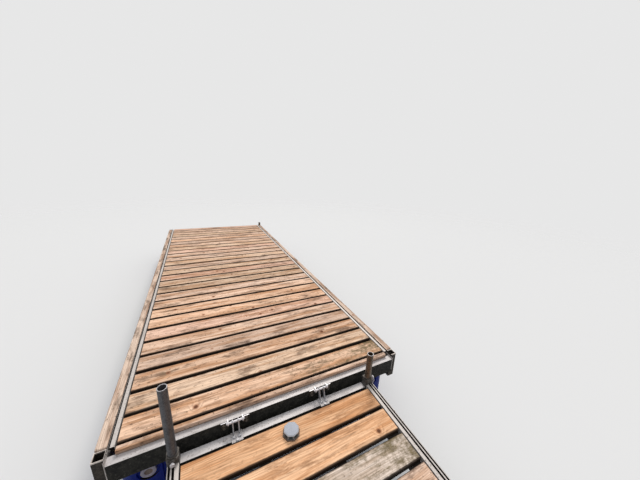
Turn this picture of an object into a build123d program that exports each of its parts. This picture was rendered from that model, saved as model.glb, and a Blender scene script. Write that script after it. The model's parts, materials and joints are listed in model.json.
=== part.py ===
from build123d import *

import math
import os

# Floating jetty in two hinged bays, in millimetres. X runs across the jetty, Y along it towards
# the open water, Z up. The origin is on the ground or bed, under the middle of the whole length.

os.makedirs("parts", exist_ok=True)

# Outer platform: an aluminium frame on moulded floats, with wooden bumper boards along its sides.
platform_length = 4572.0
platform_width = 1828.8
bumper_thickness = 50.8
bumper_depth = 140.0
float_height = 406.4
float_width = 610.0
float_length = 1219.2
float_setback = 50.0
float_inset = 70.0
floats_per_side = 2
platform_bearer_count = 8

# Walkway: the same kind of frame, narrower and a step lower, standing on four pipe legs.
walkway_length = 3048.0
walkway_width = 1219.2
step_down = 63.5
bay_gap = 30.0
walkway_bearer_count = 6

# Frame sections, as extruded.
frame_depth = 127.0
rail_web = 4.0
rail_cope = 68.0
track_inset = 20.0
track_mouth = 8.0
track_lip = 3.0
track_undercut = 4.0
track_depth = 11.0
track_outer_wall = 2.0
middle_strip = 10.0
side_groove_width = 6.4
side_groove_depth = 9.0
side_lip = 6.4
beam_flange = 46.0
beam_wall = 5.0
beam_lip = 10.0
toe_reach = 8.0
toe_height = 14.0
tube_size = 50.8
tube_wall = 3.2

# Deck planks.
plank_thickness = 25.4
plank_width = 139.7
plank_gap = 20.0
plank_end_clearance = 8.0
plank_edge_round = 3.0
end_flange_showing = 40.0
ripped_gap = 12.0
narrowest_rip = 25.0
walkway_end_gap = 31.0
walkway_stringer_setback = 13.0
new_plank_count = 2
plank_pitch = plank_width + plank_gap

# Corner pockets of the platform and the pipe that stands in one of them.
pocket_size = 50.8
pocket_fit = 0.3
pocket_length = 200.0
pocket_setback = 24.0
pocket_drop = 6.0
bumper_clearance = 4.0
corner_pipe_rise = 60.0

# Pipe legs and their cast holders at the corners of the walkway.
pipe_diameter = 42.2
pipe_wall = 3.6
left_pipe_rise = 380.0
right_pipe_rise = 165.0
shore_pipe_rise = 150.0
holder_size = 54.0
holder_corner = 6.0
holder_clearance = 0.9
holder_length = 160.0
holder_rise = 44.0
collar_diameter = 52.0
collar_height = 8.0
pipe_from_end = 30.0
pipe_from_side = 25.0
boss_diameter = 26.0
boss_length = 8.0
boss_rise = 20.0
set_bolt_diameter = 12.0
set_bolt_clearance = 0.15
set_bolt_head = 19.0
set_bolt_head_height = 7.5
set_bolt_showing = 6.0
pocket_wall = (pocket_size - pipe_diameter) / 2 - pocket_fit

# Hinges between the bays.
hinge_spacing = 530.0
hinge_offset = -20.0
pin_diameter = 12.7
pin_length = 96.0
pin_clearance = 0.25
pin_fit = 0.1
pin_from_face = 18.0
pin_drop = 24.0
eye_radius = 12.0
ear_front_angle = 30.0
ear_back_angle = 45.0
lug_thickness = 6.0
lug_spacing = 78.0
lug_foot_width = 34.0
lug_foot_depth = 46.0
lug_foot_drop = 2.0
ear_spacing = 31.0
hinge_plate_width = 60.0
hinge_plate_overhang = 12.0
hinge_plate_thickness = 5.0

# Float details.
float_corner_radius = 60.0
float_edge_chamfer = 18.0
groove_width = 70.0
groove_depth = 12.0
grooves_per_side = 4
groove_margin = 60.0
end_groove_width = 22.0
end_groove_depth = 8.0
end_groove_pitch = 70.0
end_groove_count = 4
plug_to_groove = 75.0
plug_diameter = 72.0
plug_thickness = 14.0
plug_recess_diameter = 104.0
plug_recess_depth = 10.0
plug_drop = 98.0
plug_from_outside = 125.0

# Light on the walkway's deck.
light_offset = -15.0
light_width = 92.0
light_foot = 5.0
light_sides = 8
light_body_width = 80.0
light_body_height = 20.0
light_taper_angle = 12.0
light_lid_width = 80.0
light_lid_height = 7.0
light_lid_bevel = 4.0
light_window_width = 20.0
light_window_height = 10.0
light_window_depth = 3.0

# Heights.
platform_deck = float_height + frame_depth
walkway_deck = platform_deck - step_down
pin_height = platform_deck - pin_drop

# Side rails across their tops, from the inner edge out: a strip, a bolt track, and on the
# walkway's wider ones another strip, a groove and a lip.
track_end = track_inset + track_mouth
groove_start = track_end + middle_strip
groove_end = groove_start + side_groove_width
platform_rail_width = track_end + track_outer_wall
walkway_rail_width = groove_end + side_lip
platform_rail_top = [
    (track_end, -track_depth),
    (track_end, 0),
    (platform_rail_width, 0),
]
walkway_rail_top = [
    (track_end + track_undercut, -track_depth),
    (track_end + track_undercut, -track_lip),
    (track_end, -track_lip),
    (track_end, 0),
    (groove_start, 0),
    (groove_start, -side_groove_depth),
    (groove_end, -side_groove_depth),
    (groove_end, 0),
    (walkway_rail_width, 0),
]

# Places along Y, with the whole length centred on the origin.
hinge_reach = pin_from_face + eye_radius
total_length = toe_reach + platform_length + bay_gap + walkway_length + hinge_reach
platform_far = total_length / 2 - toe_reach
platform_near = platform_far - platform_length
walkway_outer = platform_near - bay_gap
walkway_shore = walkway_outer - walkway_length


def prism(points, length, plane):
    """Extrude a closed outline of points on a plane."""
    face = make_face(Polyline(*points, close=True))
    return extrude(plane * face, amount=length)


def block(size, low):
    """A box given by its size and its lowest corner."""
    return Pos(*low) * Box(*size, align=(Align.MIN, Align.MIN, Align.MIN))


def save(solids, name):
    """Write one sub-part from its separate solids."""
    export_step(Compound(children=list(solids)), f"parts/{name}.step")


def web_foot(face, bottom, outward, toe):
    """The outer points at a web's foot, from the top down: plain, or splayed out as a drip toe."""
    if toe:
        return [(face, bottom + toe_height), (face + outward * toe_reach, bottom)]
    return [(face, bottom)]


def rail_section(outer_top, toe):
    """Side rail: a top with a bolt track, and a web down its outer side that may end in a toe."""
    width = outer_top[-1][0]
    return [
        (0, 0),
        (track_inset, 0),
        (track_inset, -track_lip),
        (track_inset - track_undercut, -track_lip),
        (track_inset - track_undercut, -track_depth),
        *outer_top,
        *web_foot(width, -frame_depth, 1, toe),
        (width - rail_web, -frame_depth),
        (width - rail_web, -plank_thickness),
        (0, -plank_thickness),
    ]


def side_rail(inner_x, deck, y_low, y_high, outer_top, toe):
    """The right-hand rail along Y, with the inner edge of its top at inner_x."""
    plane = Plane(origin=(inner_x, y_high, deck), x_dir=(1, 0, 0), z_dir=(0, -1, 0))
    return prism(rail_section(outer_top, toe), y_high - y_low, plane)


def end_beam(facing, face_y, half_length, deck):
    """A channel across the frame: its web at face_y with a toe, its flanges turned back inward."""
    top = deck - plank_thickness
    bottom = deck - frame_depth
    back = -facing
    points = [
        (face_y, top),
        (face_y + back * beam_flange, top),
        (face_y + back * beam_flange, top - beam_lip),
        (face_y + back * (beam_flange - beam_wall), top - beam_lip),
        (face_y + back * (beam_flange - beam_wall), top - beam_wall),
        (face_y + back * beam_wall, top - beam_wall),
        (face_y + back * beam_wall, bottom + beam_wall),
        (face_y + back * beam_flange, bottom + beam_wall),
        (face_y + back * beam_flange, bottom),
        *reversed(web_foot(face_y, bottom, facing, True)),
    ]
    plane = Plane(origin=(-half_length, 0, 0), x_dir=(0, 1, 0), z_dir=(1, 0, 0))
    return prism(points, 2 * half_length, plane)


def square_tube(size, wall, length, origin, along):
    """A square tube centred on a line from origin, running along X or Y."""
    outline = Rectangle(size, size) - Rectangle(size - 2 * wall, size - 2 * wall)
    plane = Plane(origin=origin, z_dir=along)
    return extrude(plane * outline, amount=length)


def pipe(x, y, top):
    """An upright open pipe from the bed to its top."""
    ring = Circle(pipe_diameter / 2) - Circle(pipe_diameter / 2 - pipe_wall)
    return Pos(x, y, 0) * extrude(ring, amount=top)


def plank(y_low, width, half_length, deck):
    """One deck plank across the jetty, with eased long edges on top."""
    size = (2 * half_length, width, plank_thickness)
    board = block(size, (-half_length, y_low, deck - plank_thickness))
    top_edges = board.faces().sort_by(Axis.Z)[-1].edges().filter_by(Axis.X)
    return chamfer(top_edges, plank_edge_round)


def plank_fit(space):
    """How many whole planks a space takes, and the width of the ripped one that fills it."""
    count = int((space - ripped_gap - narrowest_rip + plank_gap) // plank_pitch)
    return count, space - ripped_gap + plank_gap - count * plank_pitch


def float_body(side, y_low):
    """A moulded float: rounded corners, upright grooves in sides and ends, a plug recess in the near end."""
    x_outer = platform_width / 2 - float_inset
    x_middle = side * (x_outer - float_width / 2)
    y_middle = y_low + float_length / 2
    body = extrude(RectangleRounded(float_width, float_length, float_corner_radius), amount=float_height)
    top_rim = body.faces().sort_by(Axis.Z)[-1].edges()
    body = chamfer(top_rim, float_edge_chamfer)
    groove_pitch = (float_length - 2 * float_corner_radius) / grooves_per_side
    groove_height = float_height - 2 * groove_margin
    middle_z = float_height / 2
    for index in range(grooves_per_side):
        y = (index - (grooves_per_side - 1) / 2) * groove_pitch
        groove = Box(2 * groove_depth, groove_width, groove_height)
        for side_x in (-1, 1):
            body -= Pos(side_x * float_width / 2, y, middle_z) * groove
    plug_x = float_width / 2 - plug_from_outside
    for index in range(end_groove_count):
        x = side * (plug_x - plug_to_groove - index * end_groove_pitch)
        groove = Box(end_groove_width, 2 * end_groove_depth, groove_height)
        for end in (-1, 1):
            body -= Pos(x, end * float_length / 2, middle_z) * groove
    recess = Rot(90, 0, 0) * Cylinder(plug_recess_diameter / 2, 2 * plug_recess_depth)
    body -= Pos(side * plug_x, -float_length / 2, float_height - plug_drop) * recess
    return Pos(x_middle, y_middle, 0) * body


def float_plug(side, end_y):
    """The screwed plug in a float's near end."""
    x = side * (platform_width / 2 - float_inset - plug_from_outside)
    y = end_y + plug_recess_depth - plug_thickness / 2
    disc = Rot(90, 0, 0) * Cylinder(plug_diameter / 2, plug_thickness)
    return Pos(x, y, float_height - plug_drop) * disc


def hinge_lugs(face_y, x_middle, deck):
    """The fixed half of a hinge: two angle lugs on a beam's face, open between for the ears."""
    pin_y = face_y - pin_from_face
    pin_z = deck - pin_drop
    foot_z = deck - plank_thickness - lug_foot_drop - lug_foot_depth
    solids = []
    for side in (-1, 1):
        x_in = x_middle + side * (lug_spacing / 2 - lug_thickness / 2)
        x_out = x_middle + side * (lug_spacing / 2 + lug_thickness / 2)
        plane = Plane(origin=(min(x_in, x_out), 0, 0), x_dir=(0, 1, 0), z_dir=(1, 0, 0))
        outline = Pos(pin_y, pin_z) * Circle(eye_radius)
        outline += Pos(pin_y + pin_from_face / 2, pin_z) * Rectangle(pin_from_face, 2 * eye_radius)
        outline -= Pos(pin_y, pin_z) * Circle(pin_diameter / 2 + pin_fit)
        lug = extrude(plane * outline, amount=lug_thickness)
        foot_low = x_out if side > 0 else x_out - lug_foot_width
        foot_y = face_y - lug_thickness
        foot = block((lug_foot_width, lug_thickness, lug_foot_depth), (foot_low, foot_y, foot_z))
        web = block((lug_thickness, lug_thickness, lug_foot_depth), (min(x_in, x_out), foot_y, foot_z))
        solids.append(lug + foot + web)
    return solids


def hinge_ears(face_y, deck, x_middle, pin_y):
    """The walkway's half of a hinge: a plate on the beam's flange with two ears that rise to the pin."""
    flange_top = deck - plank_thickness
    plate_length = beam_flange + hinge_plate_overhang
    plate_low = (x_middle - hinge_plate_width / 2, face_y - plate_length, flange_top)
    solid = block((hinge_plate_width, plate_length, hinge_plate_thickness), plate_low)
    for side in (-1, 1):
        x_low = x_middle + side * ear_spacing / 2 - lug_thickness / 2
        plane = Plane(origin=(x_low, 0, 0), x_dir=(0, 1, 0), z_dir=(1, 0, 0))
        foot_back = (face_y - beam_flange / 2, flange_top)
        foot_front = (face_y, flange_top)
        front = math.radians(ear_front_angle)
        rear = math.radians(ear_back_angle)
        head_front = (pin_y + eye_radius * math.cos(front), pin_height - eye_radius * math.sin(front))
        head_back = (pin_y - eye_radius * math.cos(rear), pin_height + eye_radius * math.sin(rear))
        outline = make_face(Polyline(foot_back, foot_front, head_front, head_back, close=True))
        outline += Pos(pin_y, pin_height) * Circle(eye_radius)
        outline -= Pos(pin_y, pin_height) * Circle(pin_diameter / 2 + pin_clearance)
        solid += extrude(plane * outline, amount=lug_thickness)
    return solid


def bolt_plane(x, y, deck, direction):
    """A plane on a pipe's centre line at its set bolt's height, facing along the bolt."""
    dx, dy = direction
    return Plane(origin=(x, y, deck + boss_rise), z_dir=(dx, dy, 0))


def holder(x, y, deck, direction):
    """A cast pipe holder: a square block with a round collar on top and a boss for the set bolt."""
    bore = Circle(pipe_diameter / 2 + holder_clearance)
    block_height = holder_length - collar_height
    casting = extrude(Rectangle(holder_size, holder_size), amount=block_height)
    casting = chamfer(casting.edges().filter_by(Axis.Z), holder_corner)
    casting += Pos(0, 0, block_height) * extrude(Circle(collar_diameter / 2), amount=collar_height)
    casting = Pos(x, y, deck + holder_rise - holder_length) * casting
    plane = bolt_plane(x, y, deck, direction)
    casting += extrude(plane * Circle(boss_diameter / 2), amount=holder_size / 2 + boss_length)
    casting -= Pos(x, y, deck + holder_rise - holder_length) * extrude(bore, amount=holder_length)
    tapped = Circle(set_bolt_diameter / 2 + set_bolt_clearance)
    return casting - extrude(plane * tapped, amount=holder_size / 2 + boss_length)


def set_bolt(x, y, deck, direction):
    """The hexagonal set bolt that clamps a pipe in its holder."""
    tip = pipe_diameter / 2 + holder_clearance
    head_start = holder_size / 2 + boss_length + set_bolt_showing
    shank = Pos(0, 0, tip) * extrude(Circle(set_bolt_diameter / 2), amount=head_start - tip)
    hexagon = RegularPolygon(set_bolt_head / 2, 6, major_radius=False)
    head = Pos(0, 0, head_start) * extrude(hexagon, amount=set_bolt_head_height)
    return bolt_plane(x, y, deck, direction).location * (shank + head)


def deck_light(y, deck):
    """A low deck light: a foot plate, a tapering body with a window in each side, and a bevelled lid."""
    foot = extrude(RegularPolygon(light_width / 2, light_sides, major_radius=False), amount=light_foot)
    plan = RegularPolygon(light_body_width / 2, light_sides, major_radius=False)
    body = extrude(plan, amount=light_body_height, taper=light_taper_angle)
    lean = math.tan(math.radians(light_taper_angle)) * light_body_height / 2
    for index in range(light_sides):
        window = Box(2 * light_window_depth, light_window_width, light_window_height)
        turn = Rot(0, 0, (index + 0.5) * 360 / light_sides)
        body -= turn * Pos(light_body_width / 2 - lean, 0, light_body_height / 2) * window
    cover = RegularPolygon(light_lid_width / 2, light_sides, major_radius=False)
    lid = extrude(cover, amount=light_lid_height)
    lid = chamfer(lid.faces().sort_by(Axis.Z)[-1].edges(), light_lid_bevel)
    body_z = light_foot
    lid_z = light_foot + light_body_height
    return Pos(light_offset, y, deck) * (foot + Pos(0, 0, body_z) * body + Pos(0, 0, lid_z) * lid)


def bearer_set(count, half_length, deck, y_low, y_high):
    """Square tubes across the frame, level with its bottom and evenly spaced."""
    z = deck - frame_depth + tube_size / 2
    pitch = (y_high - y_low) / count
    solids = []
    for index in range(count):
        origin = (-half_length, y_low + (index + 0.5) * pitch, z)
        solids.append(square_tube(tube_size, tube_wall, 2 * half_length, origin, (1, 0, 0)))
    return solids


def stringer_set(half_width, deck, y_low, y_high):
    """Four square tubes along Y on top of the bearers, which the planks lie on."""
    z = deck - plank_thickness - tube_size / 2
    edge = half_width - tube_size / 2
    solids = []
    for x in (-edge, -edge / 3, edge / 3, edge):
        solids.append(square_tube(tube_size, tube_wall, y_high - y_low, (x, y_low, z), (0, 1, 0)))
    return solids


# Platform frame.
rail_outer = platform_width / 2 - bumper_thickness
rail_inner = rail_outer - platform_rail_width
beam_half = rail_outer - rail_web
plank_half = rail_inner - plank_end_clearance
right_rail = side_rail(rail_inner, platform_deck, platform_near, platform_far, platform_rail_top, False)
for y_low in (platform_near, platform_far - rail_cope):
    size = (beam_half - rail_inner, rail_cope, plank_thickness)
    right_rail -= block(size, (rail_inner, y_low, platform_deck - plank_thickness))
save([mirror(right_rail, about=Plane.YZ)], "platform_rail_left")
save([right_rail], "platform_rail_right")
save([end_beam(-1, platform_near, beam_half, platform_deck)], "platform_beam_near")
save([end_beam(1, platform_far, beam_half, platform_deck)], "platform_beam_far")

bearers = bearer_set(platform_bearer_count, beam_half, platform_deck, platform_near, platform_far)
save(bearers, "platform_bearers")
stringer_low = platform_near + beam_flange
stringer_high = platform_far - beam_flange
save(stringer_set(plank_half, platform_deck, stringer_low, stringer_high), "platform_stringers")

# Floats, evenly spaced along each side.
float_run = platform_length - 2 * float_setback - float_length
plugs = []
for side, word in ((-1, "left"), (1, "right")):
    for index in range(floats_per_side):
        y_low = platform_near + float_setback + index * float_run / (floats_per_side - 1)
        save([float_body(side, y_low)], f"float_{word}_{index + 1}")
        plugs.append(float_plug(side, y_low))
save(plugs, "float_plugs")

# Platform planks: whole ones laid from the far end, and a ripped one at the near end.
full_count, rip_width = plank_fit(platform_length - 2 * end_flange_showing)
planks_start = platform_far - end_flange_showing + plank_gap - full_count * plank_pitch
planks = []
for index in range(full_count):
    planks.append(plank(planks_start + index * plank_pitch, plank_width, plank_half, platform_deck))
save(planks, "platform_planks")
ripped_plank = plank(platform_near + end_flange_showing, rip_width, plank_half, platform_deck)
save([ripped_plank], "platform_ripped_plank")

# Pockets at the platform's corners, with the bumper boards between them.
pocket_x = rail_outer + pocket_size / 2
pocket_ys = {
    "near": platform_near + pocket_setback + pocket_size / 2,
    "far": platform_far - pocket_setback - pocket_size / 2,
}
pocket_low = platform_deck - pocket_drop - pocket_length
for side, word in ((-1, "left"), (1, "right")):
    for end, y in pocket_ys.items():
        foot = (side * pocket_x, y, pocket_low)
        pocket = square_tube(pocket_size, pocket_wall, pocket_length, foot, (0, 0, 1))
        save([pocket], f"pocket_{end}_{word}")
bumper_start = pocket_ys["near"] + pocket_size / 2 + bumper_clearance
bumper_end = pocket_ys["far"] - pocket_size / 2 - bumper_clearance
for side, word in ((-1, "left"), (1, "right")):
    x_low = rail_outer if side > 0 else -platform_width / 2
    size = (bumper_thickness, bumper_end - bumper_start, bumper_depth)
    save([block(size, (x_low, bumper_start, platform_deck - bumper_depth))], f"bumper_{word}")
corner_pipe = pipe(pocket_x, pocket_ys["far"], platform_deck + corner_pipe_rise)
save([corner_pipe], "corner_pipe")

# Walkway frame.
walkway_rail_outer = walkway_width / 2
walkway_rail_inner = walkway_rail_outer - walkway_rail_width
walkway_plank_half = walkway_rail_inner - plank_end_clearance
pipe_x = walkway_width / 2 - pipe_from_side
pipe_ys = {"outer": walkway_outer - pipe_from_end, "shore": walkway_shore + pipe_from_end}
rail_start = pipe_ys["shore"] + holder_size / 2
rail_end = pipe_ys["outer"] - holder_size / 2
right_rail = side_rail(walkway_rail_inner, walkway_deck, rail_start, rail_end, walkway_rail_top, True)
save([mirror(right_rail, about=Plane.YZ)], "walkway_rail_left")
save([right_rail], "walkway_rail_right")
walkway_beam_half = pipe_x - holder_size / 2
save([end_beam(1, walkway_outer, walkway_beam_half, walkway_deck)], "walkway_beam_outer")
save([end_beam(-1, walkway_shore, walkway_beam_half, walkway_deck)], "walkway_beam_shore")
walkway_bearer_half = walkway_rail_outer - rail_web
bearers = bearer_set(walkway_bearer_count, walkway_bearer_half, walkway_deck, walkway_shore, walkway_outer)
save(bearers, "walkway_bearers")
first_plank_end = walkway_outer - beam_flange - walkway_end_gap
last_plank_start = walkway_shore + beam_flange + walkway_end_gap
stringer_low = last_plank_start + walkway_stringer_setback
stringer_high = first_plank_end - walkway_stringer_setback
save(stringer_set(walkway_plank_half, walkway_deck, stringer_low, stringer_high), "walkway_stringers")

# Walkway planks: whole ones laid from the outer end, and a ripped one at the shore end.
walkway_plank_count, walkway_rip_width = plank_fit(first_plank_end - last_plank_start)
planks = []
for index in range(walkway_plank_count):
    y_low = first_plank_end - plank_width - index * plank_pitch
    planks.append(plank(y_low, plank_width, walkway_plank_half, walkway_deck))
planks.append(plank(last_plank_start, walkway_rip_width, walkway_plank_half, walkway_deck))
save(planks[:new_plank_count], "walkway_planks_new")
save(planks[new_plank_count:new_plank_count + 1], "walkway_plank_grey")
save(planks[new_plank_count + 1:], "walkway_planks_old")

# Pipe legs in their holders, each with the direction that its set bolt faces.
legs = {
    ("outer", "left"): (left_pipe_rise, (0, -1)),
    ("outer", "right"): (right_pipe_rise, (1, 0)),
    ("shore", "left"): (shore_pipe_rise, (-1, 0)),
    ("shore", "right"): (shore_pipe_rise, (1, 0)),
}
holders = []
set_bolts = []
for (end, word), (rise, direction) in legs.items():
    x = -pipe_x if word == "left" else pipe_x
    y = pipe_ys[end]
    save([pipe(x, y, platform_deck + rise)], f"pipe_{end}_{word}")
    holders.append(holder(x, y, walkway_deck, direction))
    set_bolts.append(set_bolt(x, y, walkway_deck, direction))
save(holders, "pipe_holders")
save(set_bolts, "set_bolts")

# Hinges between the bays, and the same fixed halves at the shore end for the next bay.
pin_y = platform_near - pin_from_face
lugs = []
shore_lugs = []
pins = []
ears = []
for side in (-1, 1):
    x = hinge_offset + side * hinge_spacing / 2
    lugs.extend(hinge_lugs(platform_near, x, platform_deck))
    shore_lugs.extend(hinge_lugs(walkway_shore, x, walkway_deck))
    ears.append(hinge_ears(walkway_outer, walkway_deck, x, pin_y))
    pins.append(Pos(x, pin_y, pin_height) * Rot(0, 90, 0) * Cylinder(pin_diameter / 2, pin_length))
save(lugs, "hinge_lugs")
save(shore_lugs, "shore_lugs")
save(pins, "hinge_pins")
save(ears, "hinge_ears")

# Deck light on the first plank.
save([deck_light(first_plank_end - plank_width / 2, walkway_deck)], "deck_light")

print("platform planks", full_count, "ripped width", round(rip_width, 1))
print("walkway planks", walkway_plank_count, "ripped width", round(walkway_rip_width, 1))
print("total length", total_length, "pin y", pin_y, "pin height", pin_height)
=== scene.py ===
# %% [markdown]
# A floating jetty in two bays. The outer bay is a wide platform on moulded floats, and the inner bay is a
# narrow walkway on pipe legs, a step lower. Two hinges let the walkway tilt as the platform rises and falls.
# The frame, pipes and hinges come in at their real size and place, and never move. This lesson gives each
# of them the finish of its real material, rounds the edges that light catches, and adds what a builder
# fits last: the sawn boards, their screws, the bolts and the plugs.

# %% Load the frame
import json
import math
import random

import bmesh
import bpy
from mathutils import Matrix, Vector


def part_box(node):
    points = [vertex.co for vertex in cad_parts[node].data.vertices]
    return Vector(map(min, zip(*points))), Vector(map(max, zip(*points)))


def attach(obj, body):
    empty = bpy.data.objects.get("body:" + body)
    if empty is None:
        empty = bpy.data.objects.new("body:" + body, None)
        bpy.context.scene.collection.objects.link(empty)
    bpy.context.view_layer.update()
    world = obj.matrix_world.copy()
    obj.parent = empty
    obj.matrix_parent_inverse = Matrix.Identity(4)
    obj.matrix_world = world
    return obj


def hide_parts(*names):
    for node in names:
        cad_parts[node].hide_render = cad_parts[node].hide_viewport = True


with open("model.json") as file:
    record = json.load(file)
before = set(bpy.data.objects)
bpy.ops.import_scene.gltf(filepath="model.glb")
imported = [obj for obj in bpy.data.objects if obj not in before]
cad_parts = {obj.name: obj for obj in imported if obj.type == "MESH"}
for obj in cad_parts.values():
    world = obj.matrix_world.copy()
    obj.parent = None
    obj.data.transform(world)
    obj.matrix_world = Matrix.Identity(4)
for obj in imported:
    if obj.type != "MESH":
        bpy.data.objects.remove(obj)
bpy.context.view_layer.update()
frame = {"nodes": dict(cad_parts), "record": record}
nodes = frame["nodes"]

# %% [markdown]
# Real sizes are easier to check against a catalogue in millimetres, while Blender counts in metres. One
# short factor turns one into the other, so that every size below reads as it would on a drawing.

# %% Millimetres
mm = 0.001
deck_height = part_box("platform_planks")[1].z
walkway_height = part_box("walkway_planks_old")[1].z
print("deck", round(deck_height / mm), "walkway", round(walkway_height / mm))

# %% [markdown]
# The camera comes first, because it decides how fine each finish has to be. It could be placed by eye,
# but straight planks and rails give its lens and tilt: the vanishing points of the planks and of the
# rails lie a right angle apart. They give a wide lens, held at about chest height over the walkway,
# turned to the right, tipped down and rolled slightly.

# %% Camera
image_width = 640
focal_pixels = 247.87
sensor_width = 36.0
eye = Vector((-0.3819, -1.8621, 1.8783))
camera_right = Vector((0.8968, -0.4395, 0.0499))
camera_up = Vector((0.0801, 0.2723, 0.9589))

camera_data = bpy.data.cameras.new("view_from_walkway")
camera_data.sensor_width = sensor_width
camera_data.lens = focal_pixels / image_width * sensor_width
camera = bpy.data.objects.new("view_from_walkway", camera_data)
bpy.context.scene.collection.objects.link(camera)
across = camera_right.normalized()
back = across.cross(camera_up).normalized()
upright = back.cross(across)
turn = Matrix((across, upright, back)).transposed()
camera.matrix_world = Matrix.Translation(eye) @ turn.to_4x4()
bpy.context.scene.camera = camera
print("lens", round(camera_data.lens, 2), "mm at", [round(value, 3) for value in eye])

# %% [markdown]
# A procedural finish is a small network of nodes. Building it takes the same three steps each time: add a
# node, set its options, and fill or link its inputs. One function does all three, so that a finish below
# reads as a list of what it is made of. Colours are written as they look on a screen, and a second
# function turns them into the linear light that the renderer counts in.


# %% Nodes and colours
def add(material, kind, settings=None, inputs=None):
    """Add a node to a material, set its options, and fill or link its inputs."""
    node = material.node_tree.nodes.new(kind)
    for name, value in (settings or {}).items():
        setattr(node, name, value)
    for key, value in (inputs or {}).items():
        if isinstance(value, bpy.types.NodeSocket):
            material.node_tree.links.new(value, node.inputs[key])
        else:
            node.inputs[key].default_value = value
    return node


def colour(hex_value):
    """Turn an sRGB hex colour into linear light."""
    levels = [int(hex_value[start : start + 2], 16) / 255 for start in (1, 3, 5)]
    linear = [level / 12.92 if level <= 0.04045 else ((level + 0.055) / 1.055) ** 2.4 for level in levels]
    return (*linear, 1.0)


def empty_material(name, roughness, metallic=0.0, gloss=0.5):
    """A new material, its Principled surface set to a roughness, a share of metal and a gloss."""
    material = bpy.data.materials.new(name)
    material.use_nodes = True
    shader = material.node_tree.nodes["Principled BSDF"]
    shader.inputs["Roughness"].default_value = roughness
    shader.inputs["Metallic"].default_value = metallic
    shader.inputs["Specular IOR Level"].default_value = gloss
    return material, shader


def join(material, source, shader, socket):
    """Link a node's output to one of the surface's inputs."""
    material.node_tree.links.new(source, shader.inputs[socket])


print("sawn softwood reads as", [round(level, 3) for level in colour("#d3b199")])

# %% [markdown]
# The boards are sawn softwood, left bare in the weather. A saw cuts through the tree's yearly rings, so
# each face shows long arches and stripes of pale early wood and dark late wood, with round knots where
# branches grew. Dirt and painted shade darken the gaps, sun bleaches streaks along the grain, and mildew
# greens the boards that stay damp. A flat image of wood would repeat and would run wrongly over the
# edges. Here every board remembers where in the log it was cut, as a vector on its points, and the rings
# are worked out there, so that faces, edges and ends agree, as on real timber. Four more values on the
# points give a board its own tint, say how mildewed each end of it is, and how far below the deck and how
# far across the board a point lies, because the gaps are painted dark, for dirt and shade. Rings and
# fibres are drawn coarser than they grow, because finer ones would not show from where the camera stands.


# %% Softwood
ring_width = 9 * mm
streak_size = (500 * mm, 38.46 * mm)
patch_size = (200 * mm, 58.82 * mm)
bend_size = (454.5 * mm, 200 * mm)
fibre_size = (142.86 * mm, 4.762 * mm)
wander_reach = 50 * mm
knot_spacing = 142.86 * mm
swirl_reach = 14 * mm
speck_size = 18.182 * mm
mildew_size = 29.412 * mm
darkening_from_depth = 1 * mm
darkening_full_depth = 4 * mm
fray = 0.1
check_shadow = "#4b3325"
knot_rim = "#9a5f3c"
knot_heart = "#57331f"
dirt_speck = "#4f3a2b"
mildew_dark = "#352a19"
mildew_pale = "#8b7c58"
# The colour of painted shade, with some dirt, on the boards' sides, rounded edges and gaps.
gap_dirt_and_shade = "#1c1009"


def per_metre(size):
    """How often a pattern of this length and width repeats in a metre, along the grain and across it."""
    length, width = size
    return (1 / length, 1 / width, 1 / width)


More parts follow.
